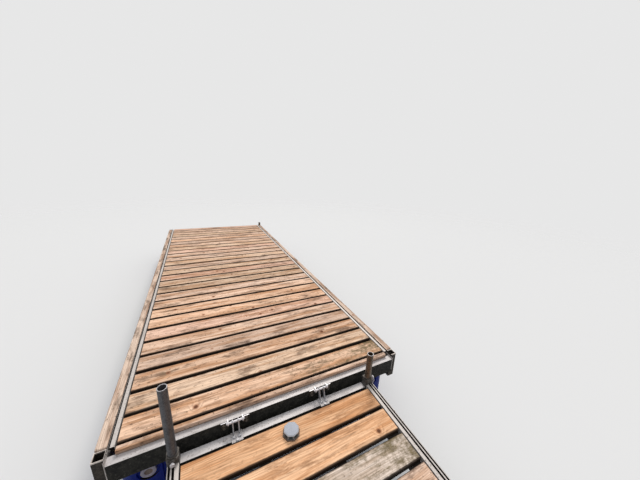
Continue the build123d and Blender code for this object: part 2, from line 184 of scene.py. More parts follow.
def softwood(name, pale, warm, dull, late, worn=1.0):
    """Bare softwood, more or less worn, whose pattern follows the values stored on each board's points."""
    material, shader = empty_material(name, 0.82, gloss=0.25)
    log = add(material, "ShaderNodeAttribute", {"attribute_name": "place_in_log"}).outputs["Vector"]
    tint = add(material, "ShaderNodeAttribute", {"attribute_name": "board_tint"}).outputs["Color"]
    mildew = add(material, "ShaderNodeAttribute", {"attribute_name": "mildew"}).outputs["Fac"]
    depth = add(material, "ShaderNodeAttribute", {"attribute_name": "depth_in_gap"}).outputs["Fac"]
    across_board = add(material, "ShaderNodeAttribute", {"attribute_name": "across_board"}).outputs["Fac"]

    # Bleached and warm streaks run along the grain, a few centimetres wide and about half a metre long.
    drawn = add(material, "ShaderNodeVectorMath", {"operation": "MULTIPLY"},
                {0: log, 1: per_metre(streak_size)})
    streak = add(material, "ShaderNodeTexNoise", {},
                 {"Vector": drawn.outputs[0], "Scale": 1.0, "Detail": 5.0, "Roughness": 0.62})
    bleached = add(material, "ShaderNodeMapRange", {"interpolation_type": "SMOOTHSTEP"},
                   {"Value": streak.outputs["Fac"], "From Min": 0.36, "From Max": 0.58})
    base = add(material, "ShaderNodeMix", {"data_type": "RGBA"},
               {0: bleached.outputs[0], 6: colour(warm), 7: colour(pale)})

    # Dull grey-brown patches, where rain stands, are a hand long.
    laid = add(material, "ShaderNodeVectorMath", {"operation": "MULTIPLY"},
               {0: log, 1: per_metre(patch_size)})
    damp = add(material, "ShaderNodeTexNoise", {},
               {"Vector": laid.outputs[0], "Scale": 1.0, "Detail": 6.0, "Roughness": 0.7})
    dulled = add(material, "ShaderNodeMapRange", {"interpolation_type": "SMOOTHSTEP"},
                 {"Value": damp.outputs["Fac"], "From Min": 0.48, "From Max": 0.68, "To Max": 0.85})
    patched = add(material, "ShaderNodeMix", {"data_type": "RGBA"},
                  {0: dulled.outputs[0], 6: base.outputs[2], 7: colour(dull)})

    # The log's middle wanders, and the rings bend round the knots, which are balls in the log.
    slow = add(material, "ShaderNodeVectorMath", {"operation": "MULTIPLY"},
               {0: log, 1: per_metre(bend_size)})
    wander = add(material, "ShaderNodeTexNoise", {},
                 {"Vector": slow.outputs[0], "Scale": 1.0, "Detail": 3.0})
    swing = add(material, "ShaderNodeVectorMath", {"operation": "MULTIPLY_ADD"},
                {0: wander.outputs["Color"], 1: (0.0, wander_reach, wander_reach), 2: log})
    flat = add(material, "ShaderNodeVectorMath", {"operation": "MULTIPLY"},
               {0: swing.outputs[0], 1: (0, 1, 1)})
    radius = add(material, "ShaderNodeVectorMath", {"operation": "LENGTH"}, {0: flat.outputs[0]})
    ball = add(material, "ShaderNodeTexVoronoi", {},
               {"Vector": log, "Scale": 1 / knot_spacing, "Randomness": 1.0})
    swirl = add(material, "ShaderNodeMapRange", {"interpolation_type": "SMOOTHSTEP"},
                {"Value": ball.outputs["Distance"], "From Min": 0.34, "From Max": 0.05,
                 "To Max": swirl_reach})
    bent = add(material, "ShaderNodeMath", {"operation": "ADD"},
               {0: radius.outputs["Value"], 1: swirl.outputs[0]})
    count = add(material, "ShaderNodeMath", {"operation": "DIVIDE"}, {0: bent.outputs[0], 1: ring_width})
    phase = add(material, "ShaderNodeMath", {"operation": "FRACT"}, {0: count.outputs[0]})
    darken = add(material, "ShaderNodeMapRange", {"interpolation_type": "SMOOTHSTEP"},
                 {"Value": phase.outputs[0], "From Min": 0.3, "From Max": 0.9})
    fall = add(material, "ShaderNodeMapRange", {"interpolation_type": "SMOOTHSTEP"},
               {"Value": phase.outputs[0], "From Min": 1.0, "From Max": 0.9})
    ring = add(material, "ShaderNodeMath", {"operation": "MULTIPLY"},
               {0: darken.outputs[0], 1: fall.outputs[0]})
    line = add(material, "ShaderNodeMath", {"operation": "MULTIPLY"}, {0: ring.outputs[0], 1: 0.3})
    ringed = add(material, "ShaderNodeMix", {"data_type": "RGBA"},
                 {0: line.outputs[0], 6: patched.outputs[2], 7: colour(late)})

    # Fibres are a few millimetres wide and a hand long; their darkest troughs are drying checks.
    fine = add(material, "ShaderNodeVectorMath", {"operation": "MULTIPLY"},
               {0: log, 1: per_metre(fibre_size)})
    fibre = add(material, "ShaderNodeTexNoise", {},
                {"Vector": fine.outputs[0], "Scale": 1.0, "Detail": 4.0, "Roughness": 0.6})
    strand = add(material, "ShaderNodeMapRange", {},
                 {"Value": fibre.outputs["Fac"], "From Min": 0.3, "From Max": 0.7, "To Min": 0.7,
                  "To Max": 1.2})
    stranded = add(material, "ShaderNodeVectorMath", {"operation": "SCALE"},
                   {0: ringed.outputs[2], "Scale": strand.outputs[0]})
    trough = add(material, "ShaderNodeMapRange", {"interpolation_type": "SMOOTHSTEP"},
                 {"Value": fibre.outputs["Fac"], "From Min": 0.3, "From Max": 0.22, "To Max": 0.75 * worn})
    checked = add(material, "ShaderNodeMix", {"data_type": "RGBA"},
                  {0: trough.outputs[0], 6: stranded.outputs[0], 7: colour(check_shadow)})

    # A knot has a dark heart and a reddish rim, and small dark specks of dirt lie all over.
    rim = add(material, "ShaderNodeMapRange", {"interpolation_type": "SMOOTHSTEP"},
              {"Value": ball.outputs["Distance"], "From Min": 0.15, "From Max": 0.09, "To Max": 0.6})
    rimmed = add(material, "ShaderNodeMix", {"data_type": "RGBA"},
                 {0: rim.outputs[0], 6: checked.outputs[2], 7: colour(knot_rim)})
    heart = add(material, "ShaderNodeMapRange", {"interpolation_type": "SMOOTHSTEP"},
                {"Value": ball.outputs["Distance"], "From Min": 0.1, "From Max": 0.05, "To Max": 0.9})
    knotted = add(material, "ShaderNodeMix", {"data_type": "RGBA"},
                  {0: heart.outputs[0], 6: rimmed.outputs[2], 7: colour(knot_heart)})
    grit = add(material, "ShaderNodeTexNoise", {}, {"Vector": log, "Scale": 1 / speck_size, "Detail": 4.0})
    speck = add(material, "ShaderNodeMapRange", {"interpolation_type": "SMOOTHSTEP"},
                {"Value": grit.outputs["Fac"], "From Min": 0.6, "From Max": 0.7, "To Max": 0.6 * worn})
    specked = add(material, "ShaderNodeMix", {"data_type": "RGBA"},
                  {0: speck.outputs[0], 6: knotted.outputs[2], 7: colour(dirt_speck)})
    tinted = add(material, "ShaderNodeVectorMath", {"operation": "MULTIPLY"},
                 {0: specked.outputs[2], 1: tint})

    # Mildew spreads from a few spots to most of the surface as its value grows.
    growth = add(material, "ShaderNodeTexNoise", {},
                 {"Vector": log, "Scale": 1 / mildew_size, "Detail": 7.0, "Roughness": 0.78})
    blotch = add(material, "ShaderNodeMix", {"data_type": "FLOAT"},
                 {0: 0.45, 2: growth.outputs["Fac"], 3: damp.outputs["Fac"]})
    spread = add(material, "ShaderNodeMath", {"operation": "MULTIPLY_ADD"},
                 {0: mildew, 1: 0.26, 2: blotch.outputs[0]})
    covered = add(material, "ShaderNodeMapRange", {"interpolation_type": "SMOOTHSTEP"},
                  {"Value": spread.outputs[0], "From Min": 0.61, "From Max": 0.82, "To Max": 0.88})
    green = add(material, "ShaderNodeMix", {"data_type": "RGBA"},
                {0: grit.outputs["Fac"], 6: colour(mildew_dark), 7: colour(mildew_pale)})
    mildewed = add(material, "ShaderNodeMix", {"data_type": "RGBA"},
                   {0: covered.outputs[0], 6: tinted.outputs[0], 7: green.outputs[2]})

    # Painted shade, with some dirt, blackens a board's sides and its rounded edges, and frays some
    # millimetres onto its face. It reaches further on the edge towards the shore, as painted shade there.
    aside = add(material, "ShaderNodeMath", {"operation": "ABSOLUTE"}, {0: across_board})
    shore_facing = add(material, "ShaderNodeMath", {"operation": "MULTIPLY_ADD"},
                 {0: across_board, 1: -0.03, 2: aside.outputs[0]})
    frayed = add(material, "ShaderNodeMath", {"operation": "MULTIPLY_ADD"},
                 {0: growth.outputs["Fac"], 1: fray, 2: shore_facing.outputs[0]})
    edged = add(material, "ShaderNodeMapRange", {"interpolation_type": "SMOOTHSTEP"},
                {"Value": frayed.outputs[0], "From Min": 0.86 + fray / 2, "From Max": 0.97 + fray / 2,
                 "To Max": 0.92})
    buried = add(material, "ShaderNodeMapRange", {"interpolation_type": "SMOOTHSTEP"},
                 {"Value": depth, "From Min": darkening_from_depth, "From Max": darkening_full_depth, "To Max": 0.97})
    soiled_and_shaded = add(material, "ShaderNodeMath", {"operation": "MAXIMUM"},
                 {0: edged.outputs[0], 1: buried.outputs[0]})
    dirt_and_shade_tone = add(material, "ShaderNodeMix", {"data_type": "RGBA"},
                {0: soiled_and_shaded.outputs[0], 6: mildewed.outputs[2], 7: colour(gap_dirt_and_shade)})
    join(material, dirt_and_shade_tone.outputs[2], shader, "Base Color")

    # Late wood stands a little proud where the weather has worn the early wood away.
    height = add(material, "ShaderNodeMath", {"operation": "MULTIPLY_ADD"},
                 {0: ring.outputs[0], 1: 0.5, 2: fibre.outputs["Fac"]})
    lowered = add(material, "ShaderNodeMath", {"operation": "MULTIPLY_ADD"},
                  {0: trough.outputs[0], 1: -1.2, 2: height.outputs[0]})
    relief = add(material, "ShaderNodeBump", {},
                 {"Strength": 0.6, "Distance": 0.6 * mm, "Height": lowered.outputs[0]})
    join(material, relief.outputs[0], shader, "Normal")
    return material


old_softwood = softwood("weathered_softwood", "#f4d3bb", "#cb9e7c", "#705747", "#77492f")
new_softwood = softwood("fresh_softwood", "#f6c9a2", "#d69f73", "#a87d5c", "#8f5933", worn=0.35)
grey_softwood = softwood("greyed_softwood", "#f8e5d6", "#cfb7a2", "#7c6d54", "#7b6850")
bumper_softwood = softwood("rough_sawn_softwood", "#ead2c0", "#ab8973", "#645247", "#664a3a")
print("softwood finishes", old_softwood.name, new_softwood.name, grey_softwood.name, bumper_softwood.name)

# %% [markdown]
# The frame is extruded aluminium as it leaves the mill, dulled by years outdoors. Its own oxide turns it
# from bright metal to a pale, slightly warm grey, and dirt and dried splashes leave soft darker clouds.
# It is more a chalky skin than a mirror, so it is only part metallic. The beams' upright and downward
# faces are painted almost black, as shade, and down in the bolt tracks the metal is painted nearly black,
# for grime and shade. The same function makes them all, from a clean colour, a dirtier one, and how much
# of the surface takes the dirtier one. The marks of a die run along an extrusion, so the pattern is drawn
# out along X on a beam and along Y on a rail. The tubes under the deck are painted darker, for grime and
# shade, and darker still on top, for dust and shade.


# %% Aluminium
cloud_size = 38.46 * mm
splash_size = 8.333 * mm


def aluminium(name, clean, soiled_and_shaded, spots, soiled_from, soiled_to, metallic, roughness,
              drawn=(1, 1, 1), dust_and_shade_on_top=None):
    """Oxidised aluminium, soiled where a drawn-out cloud passes the given levels."""
    material, shader = empty_material(name, roughness, metallic, gloss=0.5 if metallic > 0.1 else 0.2)
    source = add(material, "ShaderNodeTexCoord")
    place = source.outputs["Object"]
    along = add(material, "ShaderNodeVectorMath", {"operation": "MULTIPLY"}, {0: place, 1: drawn})
    cloud = add(material, "ShaderNodeTexNoise", {},
                {"Vector": along.outputs[0], "Scale": 1 / cloud_size, "Detail": 7.0, "Roughness": 0.72})
    dirt = add(material, "ShaderNodeMapRange", {"interpolation_type": "SMOOTHSTEP"},
               {"Value": cloud.outputs["Fac"], "From Min": soiled_from, "From Max": soiled_to})
    speck = add(material, "ShaderNodeTexNoise", {},
                {"Vector": place, "Scale": 1 / splash_size, "Detail": 4.0})
    spot = add(material, "ShaderNodeMapRange", {"interpolation_type": "SMOOTHSTEP"},
               {"Value": speck.outputs["Fac"], "From Min": 0.56, "From Max": 0.7, "To Max": 0.7})
    skin = add(material, "ShaderNodeMix", {"data_type": "RGBA"},
               {0: dirt.outputs[0], 6: colour(clean), 7: colour(soiled_and_shaded)})
    spotted = add(material, "ShaderNodeMix", {"data_type": "RGBA"},
                  {0: spot.outputs[0], 6: skin.outputs[2], 7: colour(spots)})
    surface = spotted.outputs[2]
    # Faces turned upwards are darkened, for dust and painted shade.
    if dust_and_shade_on_top:
        facing = add(material, "ShaderNodeSeparateXYZ", {}, {"Vector": source.outputs["Normal"]})
        top_share = add(material, "ShaderNodeMapRange", {},
                   {"Value": facing.outputs["Z"], "From Min": 0.3, "From Max": 0.8})
        top_dust_and_shade = add(material, "ShaderNodeMix", {"data_type": "RGBA"},
                    {0: top_share.outputs[0], 6: surface, 7: colour(dust_and_shade_on_top)})
        surface = top_dust_and_shade.outputs[2]
    join(material, surface, shader, "Base Color")
    dull = add(material, "ShaderNodeMapRange", {},
               {"Value": cloud.outputs["Fac"], "To Min": roughness - 0.12, "To Max": roughness + 0.14})
    join(material, dull.outputs[0], shader, "Roughness")
    relief = add(material, "ShaderNodeBump", {},
                 {"Strength": 0.25, "Distance": 0.2 * mm, "Height": speck.outputs["Fac"]})
    join(material, relief.outputs[0], shader, "Normal")
    return material


along_x = (0.2, 1.0, 1.0)
along_y = (1.0, 0.2, 1.0)
beam_finish = aluminium("mill_finish_beam", "#c4c1c3", "#a39e9d", "#6f665f", 0.42, 0.74, 0.3, 0.55, along_x)
rail_finish = aluminium("mill_finish_rail", "#c4bebb", "#9a948f", "#70665e", 0.46, 0.78, 0.3, 0.55, along_y)
# Painted shade: the beams' upright and downward faces are darkened as if in shade.
web_painted_shade = aluminium("aluminium_painted_shade", "#3b3a36", "#20201f", "#53514c", 0.32, 0.6, 0.0, 0.7)
# Grime and painted shade down in the rails' slots and on a strip beside them.
track_grime_and_shade = aluminium("grime_and_painted_shade_in_tracks", "#17120f", "#0d0a08", "#241d18", 0.35, 0.65, 0.0, 0.9)
# Grime and painted shade: the tubes under the deck are darker than the frame above, and darker still on top.
under_frame = aluminium("under_deck_grime_and_painted_shade", "#6f6b67", "#484441", "#3d3833", 0.38, 0.66, 0.2, 0.62,
                        dust_and_shade_on_top="#211a15")
print("metal", beam_finish.name, rail_finish.name, web_painted_shade.name, track_grime_and_shade.name, under_frame.name)

# %% [markdown]
# The pipes, pockets, holders and hinges are steel under a coat of zinc. Fresh zinc freezes in flat
# crystals that show as a pattern of grey patches; years outdoors turn it dark and mealy, and where the
# coat has gone thin the steel rusts through in brown blotches and runs. One function covers all of it:
# two greys for the crystals, a crystal size, and how far the rust has spread. A share below nothing keeps
# a pipe free of rust. The zinc's mealy grain is drawn coarser than it is, so that it shows.


# %% Galvanised steel
run_size = 21.74 * mm
bloom_size = 41.67 * mm
mealy_grain = 3.125 * mm


def zinc_coat(name, pale, dark, crystal, rust_share, rust="#6e4427", metallic=0.55, roughness=0.5):
    """Zinc-coated steel: crystals of the given size in metres, and a share of it rusted through."""
    material, shader = empty_material(name, roughness, metallic)
    place = add(material, "ShaderNodeTexCoord").outputs["Object"]
    flake = add(material, "ShaderNodeTexVoronoi", {}, {"Vector": place, "Scale": 1 / crystal})
    tint = add(material, "ShaderNodeSeparateColor", {}, {"Color": flake.outputs["Color"]})
    hanging = add(material, "ShaderNodeVectorMath", {"operation": "MULTIPLY"},
                  {0: place, 1: (1.0, 1.0, 0.3)})
    run = add(material, "ShaderNodeTexNoise", {},
              {"Vector": hanging.outputs[0], "Scale": 1 / run_size, "Detail": 5.0, "Roughness": 0.65})
    share = add(material, "ShaderNodeMath", {"operation": "MULTIPLY_ADD"},
                {0: tint.outputs["Red"], 1: 0.35, 2: run.outputs["Fac"]})
    lit = add(material, "ShaderNodeMapRange", {"interpolation_type": "SMOOTHSTEP"},
              {"Value": share.outputs[0], "From Min": 0.45, "From Max": 0.85})
    zinc = add(material, "ShaderNodeMix", {"data_type": "RGBA"},
               {0: lit.outputs[0], 6: colour(dark), 7: colour(pale)})
    cloud = add(material, "ShaderNodeTexNoise", {},
                {"Vector": hanging.outputs[0], "Scale": 1 / bloom_size, "Detail": 6.0, "Roughness": 0.72})
    bloom = add(material, "ShaderNodeMapRange", {"interpolation_type": "SMOOTHSTEP"},
                {"Value": cloud.outputs["Fac"], "From Min": 0.78 - 0.5 * rust_share,
                 "From Max": 0.86 - 0.5 * rust_share})
    grit = add(material, "ShaderNodeTexNoise", {},
               {"Vector": place, "Scale": 1 / mealy_grain, "Detail": 2.0})
    tone = add(material, "ShaderNodeMapRange", {},
               {"Value": grit.outputs["Fac"], "To Min": 0.6, "To Max": 1.3})
    crust = add(material, "ShaderNodeVectorMath", {"operation": "SCALE"},
                {0: colour(rust)[:3], "Scale": tone.outputs[0]})
    coat = add(material, "ShaderNodeMix", {"data_type": "RGBA"},
               {0: bloom.outputs[0], 6: zinc.outputs[2], 7: crust.outputs[0]})
    join(material, coat.outputs[2], shader, "Base Color")
    bare = add(material, "ShaderNodeMapRange", {},
               {"Value": bloom.outputs[0], "To Min": metallic, "To Max": 0.0})
    join(material, bare.outputs[0], shader, "Metallic")
    dull = add(material, "ShaderNodeMapRange", {},
               {"Value": bloom.outputs[0], "To Min": roughness, "To Max": 0.85})
    join(material, dull.outputs[0], shader, "Roughness")
    relief = add(material, "ShaderNodeBump", {},
                 {"Strength": 0.4, "Distance": 0.3 * mm, "Height": grit.outputs["Fac"]})
    join(material, relief.outputs[0], shader, "Normal")
    return material


pipe_zinc = zinc_coat("galvanised_pipe", "#606166", "#45474b", 5 * mm, -0.25, metallic=0.3)
rusty_zinc = zinc_coat("rusted_galvanised_pipe", "#79695b", "#4f4236", 8 * mm, 0.34, rust="#54361f")
# Painted shade: this dark, rust-blotched steel stands for the shade on the pockets' sides and under the
# lugs' pins.
steel_painted_shade = zinc_coat("stained_steel_painted_shade", "#4b443d", "#2c2924", 7 * mm, 0.25, rust="#3f2a1c", roughness=0.65)
pale_rim = zinc_coat("worn_steel_rim", "#dbd3cd", "#b8aea7", 6 * mm, 0.05)
cast_iron = zinc_coat("galvanised_casting", "#6b6764", "#46423f", 6 * mm, 0.22, rust="#4a3021",
                      roughness=0.62)
lug_zinc = zinc_coat("dull_zinc_plate", "#bfbec3", "#9f9fa3", 5 * mm, 0.0)
bright_zinc = zinc_coat("bright_zinc_plate", "#e6e3e8", "#d0ced3", 4 * mm, 0.0, metallic=0.3, roughness=0.4)
screw_zinc = zinc_coat("weathered_screw", "#7d756d", "#5b534c", 3 * mm, 0.3, rust="#4a2f1e")
print("steel finishes", pipe_zinc.name, rusty_zinc.name, steel_painted_shade.name, pale_rim.name, cast_iron.name)

# %% [markdown]
# The floats are polyethylene, baked in a turning mould until the powder melts against its walls. That
# leaves a strong, slightly waxy blue with soft edges and a faint orange-peel skin, chalky where the sun
# reaches it. The plugs, the deck light's housing and its windows are moulded too, in other colours.


# %% Moulded plastics
fade_size = 111.1 * mm


def moulded(name, hue, faded, roughness, peel, gloss=0.4):
    """Moulded plastic with a faint skin texture of the given grain and a little fading."""
    material, shader = empty_material(name, roughness, gloss=gloss)
    place = add(material, "ShaderNodeTexCoord").outputs["Object"]
    skin = add(material, "ShaderNodeTexNoise", {}, {"Vector": place, "Scale": 1 / peel, "Detail": 2.0})
    cloud = add(material, "ShaderNodeTexNoise", {},
                {"Vector": place, "Scale": 1 / fade_size, "Detail": 6.0, "Roughness": 0.68})
    fade = add(material, "ShaderNodeMapRange", {"interpolation_type": "SMOOTHSTEP"},
               {"Value": cloud.outputs["Fac"], "From Min": 0.4, "From Max": 0.75})
    tint = add(material, "ShaderNodeMix", {"data_type": "RGBA"},
               {0: fade.outputs[0], 6: colour(hue), 7: colour(faded)})
    join(material, tint.outputs[2], shader, "Base Color")
    relief = add(material, "ShaderNodeBump", {},
                 {"Strength": 0.3, "Distance": 0.4 * mm, "Height": skin.outputs["Fac"]})
    join(material, relief.outputs[0], shader, "Normal")
    return material


float_plastic = moulded("blue_polyethylene", "#052084", "#0d2f8c", 0.5, 6 * mm, gloss=0.2)
plug_plastic = moulded("white_polyethylene", "#b9b3c4", "#9f97a6", 0.5, 3 * mm)
plug_core = moulded("stained_polyethylene", "#94837c", "#6f615b", 0.6, 3 * mm)
panel_plastic = moulded("grey_acrylic_panel", "#828b9e", "#747c8c", 0.35, 2 * mm)
lid_plastic = moulded("pale_acrylic_lid", "#bec1c8", "#a3a6ad", 0.35, 2 * mm)
# Grime and painted shade: the deck light's body below the lid.
housing_grime_and_shade = moulded("acrylic_housing_grime_and_painted_shade", "#4a5356", "#3a3a36", 0.5, 3 * mm)
lens_plastic = moulded("teal_lens", "#1d3a41", "#0f2025", 0.3, 4 * mm)
# Stain and painted shade: the brown foot of the deck light.
foot_stain_and_shade = moulded("foot_stain_and_painted_shade", "#7c675a", "#5a4a40", 0.7, 3 * mm)
# Dirt and painted shade on the floats' upper faces, under the deck.
float_top_dirt_and_shade = moulded("float_top_dirt_and_painted_shade", "#2a211b", "#1c1e2c", 0.85, 5 * mm, gloss=0.1)
print("plastics", float_plastic.name, plug_plastic.name, lid_plastic.name, lens_plastic.name)

# %% [markdown]
# A node can hold many separate solids, such as all the boards of a deck. They are found by walking from
# point to joined point, after the points that lie on one another are merged. Each group's box then says
# where one solid is. Another function turns a finished shape into a piece that rides on a body. Its faces
# are smooth, but each point's shading leans towards the larger faces there, so that a flat face looks
# flat right up to its rounded edge, and the curve alone catches the light.


# %% Separate solids, and pieces
merge_within = 0.01 * mm


def merged_copy(node):
    """A node's mesh as a shape, with the points that lie on one another merged."""
    shape = bmesh.new()
    shape.from_mesh(nodes[node].data)
    bmesh.ops.remove_doubles(shape, verts=shape.verts, dist=merge_within)
    return shape


def loose_parts(node):
    """The lowest and highest corner of each separate solid in a node, ordered along the jetty."""
    shape = merged_copy(node)
    waiting = set(shape.verts)
    boxes = []
    while waiting:
        group = [waiting.pop()]
        for point in group:
            for edge in point.link_edges:
                other = edge.other_vert(point)
                if other in waiting:
                    waiting.remove(other)
                    group.append(other)
        low = Vector([min(point.co[axis] for point in group) for axis in range(3)])
        high = Vector([max(point.co[axis] for point in group) for axis in range(3)])
        boxes.append((low, high))
    shape.free()
    return sorted(boxes, key=lambda box: (round(box[0].y, 3), round(box[0].x, 3)))


def piece(name, shape, body, materials, smooth_under=40):
    """Turn a finished bmesh into a piece that rides on a body."""
    mesh = bpy.data.meshes.new(name)
    shape.to_mesh(mesh)
    shape.free()
    for material in materials:
        mesh.materials.append(material)
    for face in mesh.polygons:
        face.use_smooth = True
    mesh.set_sharp_from_angle(angle=math.radians(smooth_under))
    made = bpy.data.objects.new(name, mesh)
    bpy.context.scene.collection.objects.link(made)
    weighted = made.modifiers.new("flat_faces_stay_flat", "WEIGHTED_NORMAL")
    weighted.keep_sharp = True
    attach(made, body)
    return made


print("platform boards", len(loose_parts("platform_planks")))

# %% [markdown]
# Sawn boards are never quite alike. Each one cups, bows and lies a hair out of line, so the gaps between
# them widen and narrow along the deck. The frame holds plain boards at their real size and place, and
# each finished board is made inside one of those: a block, its long edges rounded over as a planer leaves
# them, cut across into bays so that it can bend, and then bent a little. Tints come from a short list,
# because boards from one stack are pinkish, orange or greyish rather than any colour at all.

# %% Saw a board
edge_round = 4 * mm
most_cup = 0.6 * mm
most_skew = 4.0 * mm
most_bow = 2.5 * mm
log_reach = 40
off_centre = 50 * mm
below_pith = (50 * mm, 150 * mm)
brightness = (0.88, 1.08)
# How much painted shade an open side towards the shore keeps in its gap, and how far its edge darkens.
open_side_shade_share = 0.12
open_side_edge_limit = -0.8
bays_per_board = 8
tints = ((1.0, 1.0, 1.0), (1.04, 0.99, 0.93), (0.95, 0.97, 1.0), (1.02, 0.96, 0.97), (0.95, 0.97, 0.94))


def ease(shape, edges, radius, segments, clamp=False):
    """Round edges over, in a number of steps."""
    return bmesh.ops.bevel(shape, geom=edges, offset=radius, offset_type="OFFSET", affect="EDGES",
                           segments=segments, profile=0.5, material=-1, clamp_overlap=clamp)


def board_layers(shape):
    """The five values that the softwood finish reads from a board's points."""
    layers = shape.verts.layers
    return (layers.float_vector.new("place_in_log"), layers.float_color.new("board_tint"),
            layers.float.new("mildew"), layers.float.new("depth_in_gap"), layers.float.new("across_board"))


def block(shape, size):
    """Add a plain block around the middle of the shape, and give its points."""
    made = bmesh.ops.create_cube(shape, size=1.0)["verts"]
    bmesh.ops.scale(shape, vec=size, verts=made)
    return made


def saw_board(shape, layers, low, high, chance, stray, mildew, open_side):
    """Add one board in a box: how far out of line, how mildewed at each end, and if one side lies open."""
    in_log, board_tint, mildewed, in_gap, across_board = layers
    before = set(shape.verts)
    size = high - low
    long_top = [edge for edge in {edge for point in block(shape, size) for edge in point.link_edges}
                if abs(edge.verts[0].co.x - edge.verts[1].co.x) > size.x / 2 and edge.verts[0].co.z > 0]
    ease(shape, long_top, edge_round, 3)
    for index in range(1, bays_per_board):
        points = [point for point in shape.verts if point not in before]
        edges = {edge for point in points for edge in point.link_edges}
        faces = {face for point in points for face in point.link_faces}
        cut_x = -size.x / 2 + index * size.x / bays_per_board
        bmesh.ops.bisect_plane(shape, geom=points + list(edges) + list(faces),
                               plane_co=(cut_x, 0, 0), plane_no=(1, 0, 0))
    from_pith = Vector((chance.uniform(0, log_reach), chance.uniform(-off_centre, off_centre),
                        -chance.uniform(*below_pith)))
    bright = chance.uniform(*brightness)
    tint = [level * bright for level in chance.choice(tints)] + [1.0]
    cup = chance.uniform(-most_cup, most_cup)
    skew = chance.uniform(-most_skew, most_skew) * stray
    bow = chance.uniform(-most_bow, most_bow) * stray
    for point in shape.verts:
        if point in before:
            continue
        along = point.co.x / (size.x / 2)
        aside = point.co.y / (size.y / 2)
        point[in_log] = point.co + from_pith
        point[board_tint] = tint
        point[mildewed] = mildew[0] + (mildew[1] - mildew[0]) * (along + 1) / 2
        # An open side towards the shore gets only a little of the painted shade in the gap.
        shore_facing = open_side and aside < 0
        point[in_gap] = (size.z / 2 - point.co.z) * (open_side_shade_share if shore_facing else 1.0)
        point[across_board] = max(aside, open_side_edge_limit) if open_side else aside
        point.co.y += skew * along + bow * (1 - along * along)
        if point.co.z > 0:
            point.co.z -= abs(cup) * (aside * aside if cup > 0 else 1 - aside * aside)
        point.co += (high + low) / 2


print("most out of line", round((most_skew + most_bow) / mm, 1), "mm")

# %% [markdown]
# The photograph shows which boards differ: the first whole board of the platform has gone green over its
# right half, and so has the third board of the walkway, more and more towards the right. The others get a
# little mildew by chance. The ripped board beside the beam has narrow gaps, so it lies straighter, and no
# other board shades its side towards the shore, so that side gets little of the painted shade.

# %% Lay the decks
most_usual_mildew = 0.45


def lay_boards(name, node, body, material, seed, stray=1.0, weather=None, open_side=False):
    """Saw a board for each solid of a node, and let them stand for it."""
    chance = random.Random(seed)
    shape = bmesh.new()
    layers = board_layers(shape)
    boxes = loose_parts(node)
    for index, (low, high) in enumerate(boxes):
        usual = (chance.uniform(0, most_usual_mildew), chance.uniform(0, most_usual_mildew))
        saw_board(shape, layers, low, high, chance, stray, (weather or {}).get(index, usual), open_side)
    made = piece(name, shape, body, [material])
    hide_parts(node)
    print(name, len(boxes), "boards", len(made.data.polygons), "faces")
    return boxes


platform_boards = lay_boards("platform_boards", "platform_planks", "platform",
                             old_softwood, 11, weather={0: (0.0, 0.9)})
ripped_board = lay_boards("platform_ripped_board", "platform_ripped_plank", "platform",
                          old_softwood, 4, stray=0.2, open_side=True)
new_boards = lay_boards("walkway_boards_new", "walkway_planks_new", "walkway", new_softwood, 5,
                        weather={0: (0.0, 0.0), 1: (0.0, 0.0)})
grey_board = lay_boards("walkway_board_grey", "walkway_plank_grey", "walkway",
                        grey_softwood, 12, weather={0: (0.0, 0.95)})
old_boards = lay_boards("walkway_boards_old", "walkway_planks_old", "walkway",
                        old_softwood, 21)

# %% [markdown]
# Two screws hold each board down at every stringer, and a ripped board gets one. Nearly four hundred are
# needed, so a screw head is kept to a few dozen faces: a short disc of ten sides, inset and pushed down in
# the middle for the driver's socket. Each head sits in a board at the stringer's centre line.

# %% Screws
head_radius = 4.5 * mm
head_height = 1.2 * mm
head_sides = 10
socket_inset = 0.55
socket_depth = 0.8 * mm
head_proud = 0.2 * mm
screw_from_edge = 32 * mm


def points_among(items):
    """The points among everything that an operator made."""
    return [item for item in items if isinstance(item, bmesh.types.BMVert)]


def screw_head(shape, x, y, z):
    """Add one screw head with its top at a height z."""
    made = bmesh.ops.create_circle(shape, cap_ends=True, radius=head_radius, segments=head_sides)["verts"]
    disc = made[0].link_faces[0]
    socket = bmesh.ops.inset_region(shape, faces=[disc], thickness=head_radius * socket_inset, depth=0.0)
    floor = points_among(bmesh.ops.extrude_face_region(shape, geom=[disc])["geom"])
    bmesh.ops.delete(shape, geom=[disc], context="FACES_ONLY")
    bmesh.ops.translate(shape, vec=(0, 0, -socket_depth), verts=floor)
    rim_edges = [edge for edge in {edge for point in made for edge in point.link_edges}
                 if edge.is_boundary and edge.verts[0] in made and edge.verts[1] in made]
    lower = points_among(bmesh.ops.extrude_edge_only(shape, edges=rim_edges)["geom"])
    bmesh.ops.translate(shape, vec=(0, 0, -head_height), verts=lower)
    inner = {point for face in socket["faces"] for point in face.verts}
    every = set(made) | set(floor) | set(lower) | inner
    bmesh.ops.translate(shape, vec=(x, y, z), verts=list(every))


def drive_screws(name, body, boxes, stringers):
    """Screw every board of a deck to every stringer under it."""
    shape = bmesh.new()
    lines = [(low.x + high.x) / 2 for low, high in loose_parts(stringers)]
    driven = 0
    for low, high in boxes:
        wide = high.y - low.y > 4 * screw_from_edge
        rows = (low.y + screw_from_edge, high.y - screw_from_edge) if wide else ((low.y + high.y) / 2,)
        for x in lines:
            for y in rows:
                screw_head(shape, x, y, high.z + head_proud)
                driven += 1
    bmesh.ops.recalc_face_normals(shape, faces=shape.faces)
    made = piece(name, shape, body, [screw_zinc], smooth_under=30)
    print(name, driven, "screws", len(made.data.polygons), "faces")


